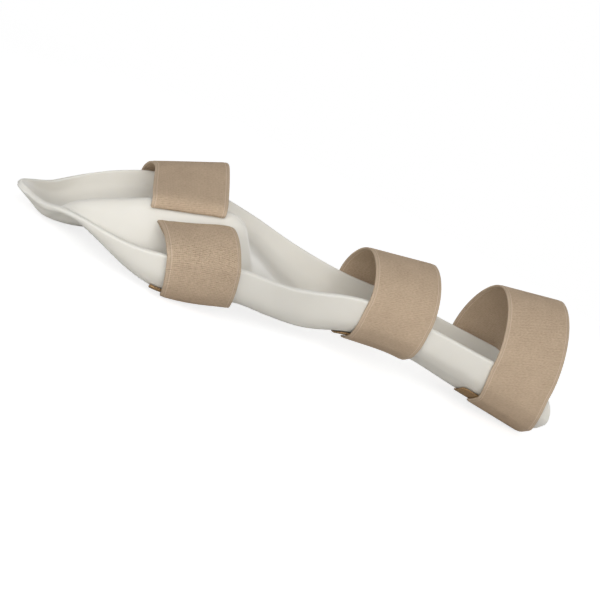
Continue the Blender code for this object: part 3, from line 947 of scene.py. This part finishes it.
def laid(centre, run, layer, shift=lambda place: 0.0, spread=1.0):
    """Lines of points on one layer of the sheet, for any offset along X."""
    count = max(round(abs(run[1] - run[0]) * POINTS_PER_PLACE), LEAST_POINTS)
    return lambda offset: [off_sheet(centre + offset * spread + shift(p), p, layer)
                           for p in steps(run[0], run[1], count)]


print("a patch lies", round(PAD_LAYER - HOOK / 2 - SHEET / 2, 2), "mm off the sheet")

# %% Hook pads
PAD_CORNER = 3.0
SMALL_PAD_CORNER = 1.5
RIDGE_PAD_CORNER = 1.0
PAD_SHOWS = {"thumb": 6.0, "wrist": 6.0, "forearm": 9.5}
WRAP_ANCHOR_PAD = (0.75, 2.0)
WRAP_CLOSURE_PAD = (4.0, 6.25)
FINGER_PAD = (0.5, 2.25)
FINGER_CLOSURE_PAD = (4.75, 5.12)
FINGER_PAD_MARGIN = 3.0
FINGER_CLOSURE_WIDTH = STRAP_WIDTH - FINGER_PAD_MARGIN / FINGER_RUN
THUMB_ANCHOR_PAD = (5.9, 5.7)
THUMB_PAD = (7.0, 7.5)


def thumb_anchor_line(offset):
    return [on_ridge(offset + THUMB_TRIM / 2, p, -PAD_LAYER)
            for p in steps(*THUMB_ANCHOR_PAD, LEAST_POINTS)]


def thumb_pad_shift(place):
    return thumb_tail_shift(place) - PAD_SHOWS["thumb"]


for name, wrap in WRAPS.items():
    hook_tape(name + "_anchor_tape", name + "_anchor_pad",
              laid(wrap.centre, WRAP_ANCHOR_PAD, PAD_LAYER), STRAP_WIDTH, PAD_CORNER)
    hook_tape(name + "_closure_tape", name + "_closure_pad",
              laid(wrap.centre - PAD_SHOWS[name], WRAP_CLOSURE_PAD, PAD_LAYER,
                   functools.partial(tail_drift, wrap.drift)), STRAP_WIDTH, PAD_CORNER)
hook_tape("finger_anchor_tape", "finger_anchor_pad",
          laid(FINGER_STRAP_X, FINGER_PAD, PAD_LAYER, spread=FINGER_RUN), STRAP_WIDTH, PAD_CORNER)
hook_tape("finger_closure_tape", "finger_closure_pad",
          laid(FINGER_STRAP_X, FINGER_CLOSURE_PAD, -PAD_LAYER, spread=FINGER_RUN),
          FINGER_CLOSURE_WIDTH, SMALL_PAD_CORNER)
hook_tape("thumb_anchor_tape", "thumb_anchor_pad",
          thumb_anchor_line, THUMB_STRAP_WIDTH - THUMB_TRIM, RIDGE_PAD_CORNER)
hook_tape("thumb_closure_tape", "thumb_closure_pad",
          laid(THUMB_STRAP_X, THUMB_PAD, PAD_LAYER, thumb_pad_shift), THUMB_STRAP_WIDTH, SMALL_PAD_CORNER)

# %% [markdown]
# ## Finishes
# Every finish is a Principled shader fed by a few textures. Painted images could carry the same
# detail, but noise and waves stay sharp at any distance and need no files. These helpers name
# the nodes that the three finishes share.

# %% Finish helpers
def new_material(name):
    made = bpy.data.materials.new(name)
    made.use_nodes = True
    return made, made.node_tree, made.node_tree.nodes["Principled BSDF"]


def uv_in_mm(tree):
    """The piece's own UV map, which is in millimetres, whole and split in two."""
    uv = add_node(tree, "UVMap", {}, uv_map="UVMap").outputs[0]
    split = add_node(tree, "SeparateXYZ", {0: uv})
    return uv, split.outputs["X"], split.outputs["Y"]


def ramp(tree, factor, stops):
    node = add_node(tree, "ValToRGB", {0: factor})
    elements = node.color_ramp.elements
    while len(elements) < len(stops):
        elements.new(0.5)
    for element, (position, colour) in zip(elements, stops):
        element.position = position
        element.color = (*colour, 1)
    return node.outputs[0]


def mix_colour(tree, factor, a, b):
    return add_node(tree, "Mix", {"Factor": factor, "A": a, "B": b}, data_type="RGBA").outputs["Result"]


def noise(tree, vector, scale, detail):
    return add_node(tree, "TexNoise", {"Vector": vector, "Scale": scale, "Detail": detail}).outputs["Fac"]


def wave(tree, value, pitch, height):
    turn = math_node(tree, "MULTIPLY", value, 2 * math.pi / pitch)
    return math_node(tree, "MULTIPLY", math_node(tree, "SINE", turn), height)


def bump(tree, height, distance):
    inputs = {"Height": height, "Distance": distance, "Strength": 1.0}
    return add_node(tree, "Bump", inputs).outputs["Normal"]


def dress(piece, finish):
    piece.data.materials.clear()
    piece.data.materials.append(finish)
    print(piece.name, "in", finish.name)


# %% [markdown]
# ## Shell plastic
# The shell is an even off-white plastic with a soft sheen. One flat colour would look like
# paint, so its tint and roughness wander a little, a fine pebble from the mould breaks up the
# highlights, and a little light passes under the surface. The trimmed edge is duller, and a
# painted highlight makes it paler: the shell's UV map holds the distance from the cut, so the
# finish can find it.

# %% Shell plastic
DRIFT_SCALE = 22.0
PEBBLE_SCALE = 1900.0
PEBBLE_DEPTH = 0.00004
SHELL_SHADES = [(0.25, (0.735, 0.710, 0.648)), (0.75, (0.775, 0.752, 0.690))]
SHELL_ROUGHNESS = (0.38, 0.50)
# Paler colour on the trimmed edge: a painted highlight along the rim
CUT_EDGE_HIGHLIGHT = (0.790, 0.770, 0.712, 1)
CUT_EDGE_FADE = (1.6, 0.4)
CUT_EDGE_DULLING = 0.14
plastic, tree, shader = new_material("Off-white splinting sheet")
spot = add_node(tree, "TexCoord", {}).outputs["Object"]
drift = noise(tree, spot, DRIFT_SCALE, 3.0)
pebble = noise(tree, spot, PEBBLE_SCALE, 2.0)
_, from_cut, _ = uv_in_mm(tree)
# Band beside the cut: it carries the painted highlight in the colour and a real dulling in the roughness
edge_highlight_and_dulling = map_range(tree, from_cut, CUT_EDGE_FADE, interpolation="SMOOTHSTEP")
dulling = math_node(tree, "MULTIPLY", edge_highlight_and_dulling, CUT_EDGE_DULLING)
set_inputs(tree, shader, {
    "Base Color": mix_colour(tree, edge_highlight_and_dulling, ramp(tree, drift, SHELL_SHADES), CUT_EDGE_HIGHLIGHT),
    "Roughness": math_node(tree, "ADD", map_range(tree, drift, (0.0, 1.0), SHELL_ROUGHNESS), dulling),
    "Normal": bump(tree, pebble, PEBBLE_DEPTH),
    "IOR": 1.46,
    "Subsurface Weight": 0.35,
    "Subsurface Radius": (1.0, 0.95, 0.85),
    "Subsurface Scale": 0.003,
})
dress(shell, plastic)

# %% [markdown]
# ## Webbing
# Loop webbing is matte: ribs run across it, the pile over them is fuzzy, and inside each smooth
# selvedge lie a groove, drawn as a darker line of painted shade, and a paler line of thread. The
# threads could be modelled, but they are under a millimetre wide, so waves and noise on the UV
# map, which is in millimetres, draw them in colour and bump. The thumb strap has a deeper pile
# than the others.

# %% Webbing
RIB_PITCH = 0.95
WARP_PITCH = 0.8
WARP_HEIGHT = 0.05
TUFT_STRETCH = (0.6, 1.2, 1.0)
TUFT_SCALE = 1.15
PATCH_SCALE = 0.09
PATCH_SHARE = 0.35
PILE_DARK = (0.415, 0.311, 0.215)
PILE_LIGHT = (0.590, 0.451, 0.323)
# Where the pile turns from dark to light: a deeper pile turns sooner and more sharply
PILE_TURN = 0.755
PILE_TURN_SHIFT = 0.1
PILE_TURN_SPREAD = 0.3
PILE_BUMP = 0.0005
SELVEDGE_COLOUR = (0.535, 0.415, 0.302)
# The groove inside each selvedge is a darker stripe of colour: painted shade
GROOVE_SHADE = (0.445, 0.339, 0.240)
THREAD_COLOUR = (0.625, 0.496, 0.372)
EDGE_SPAN = 3.0
# Insets from the edge of the webbing where each stripe of its edge has its colour, in mm
EDGE_STRIPES = [(0.0, SELVEDGE_COLOUR), (SELVEDGE - 0.4, SELVEDGE_COLOUR), (SELVEDGE, GROOVE_SHADE),
                (SELVEDGE + 0.25, THREAD_COLOUR)]
THREAD_FADE = (SELVEDGE + 0.7, SELVEDGE + 0.4)


def webbing_material(name, width, rib_height, pile_depth):
    """Loop webbing: broken crosswise ribs under a fuzzy pile, and a thread line inside each selvedge."""
    made, tree, shader = new_material(name)
    uv, across, along = uv_in_mm(tree)
    drawn_out = add_node(tree, "Mapping", {"Vector": uv, "Scale": TUFT_STRETCH}).outputs[0]
    tufts = noise(tree, drawn_out, TUFT_SCALE, 4.0)
    patches = math_node(tree, "MULTIPLY", noise(tree, uv, PATCH_SCALE, 2.0), PATCH_SHARE)
    weave = math_node(tree, "ADD", wave(tree, along, RIB_PITCH, rib_height),
                      wave(tree, across, WARP_PITCH, WARP_HEIGHT))
    height = math_node(tree, "ADD", weave, tufts)
    middle = PILE_TURN - PILE_TURN_SHIFT * pile_depth
    spread = PILE_TURN_SPREAD / pile_depth
    pile = ramp(tree, math_node(tree, "ADD", patches, height),
                [(middle - spread, PILE_DARK), (middle + spread, PILE_LIGHT)])
    inset = math_node(tree, "SUBTRACT", width / 2, math_node(tree, "ABSOLUTE", across))
    edge = ramp(tree, math_node(tree, "DIVIDE", inset, EDGE_SPAN),
                [(at / EDGE_SPAN, colour) for at, colour in EDGE_STRIPES])
    at_edge = map_range(tree, inset, THREAD_FADE, interpolation="SMOOTHSTEP")
    set_inputs(tree, shader, {
        "Base Color": mix_colour(tree, at_edge, pile, edge),
        "Normal": bump(tree, height, PILE_BUMP * pile_depth),
        "Roughness": 0.95,
        "Specular IOR Level": 0.12,
        "Sheen Weight": 0.10,
        "Sheen Roughness": 0.5,
        "Sheen Tint": (*PILE_LIGHT, 1),
    })
    return made


wide = webbing_material("Beige loop webbing", STRAP_WIDTH, 0.09, 0.9)
narrow = webbing_material("Beige loop webbing for the thumb", THUMB_STRAP_WIDTH, 0.13, 1.4)
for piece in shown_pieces():
    if piece.name.endswith("_webbing"):
        dress(piece, narrow if piece.name.startswith("thumb") else wide)

# %% [markdown]
# ## Hook tape
# The tape is a coarser, golden-brown weave with rows of hooks. A checker texture could stand for
# the rows, but its squares have hard corners, so two crossed waves give round dots, and a grain
# over them keeps the rows from looking printed.

# %% Hook tape
HOOK_PITCH = 1.3
HOOK_GRAIN_SCALE = 1.4
HOOK_SHADES = [(0.0, (0.290, 0.170, 0.070)), (0.9, (0.455, 0.285, 0.135))]
HOOK_BUMP = 0.0003
tape, tree, shader = new_material("Golden-brown hook tape")
uv, across, along = uv_in_mm(tree)
dots = math_node(tree, "MULTIPLY", wave(tree, across, HOOK_PITCH, 1.0), wave(tree, along, HOOK_PITCH, 1.0))
height = math_node(tree, "ADD", dots, noise(tree, uv, HOOK_GRAIN_SCALE, 3.0))
set_inputs(tree, shader, {
    "Base Color": ramp(tree, height, HOOK_SHADES),
    "Normal": bump(tree, height, HOOK_BUMP),
    "Roughness": 0.62,
})
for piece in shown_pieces():
    if piece.name.endswith("_tape"):
        dress(piece, tape)
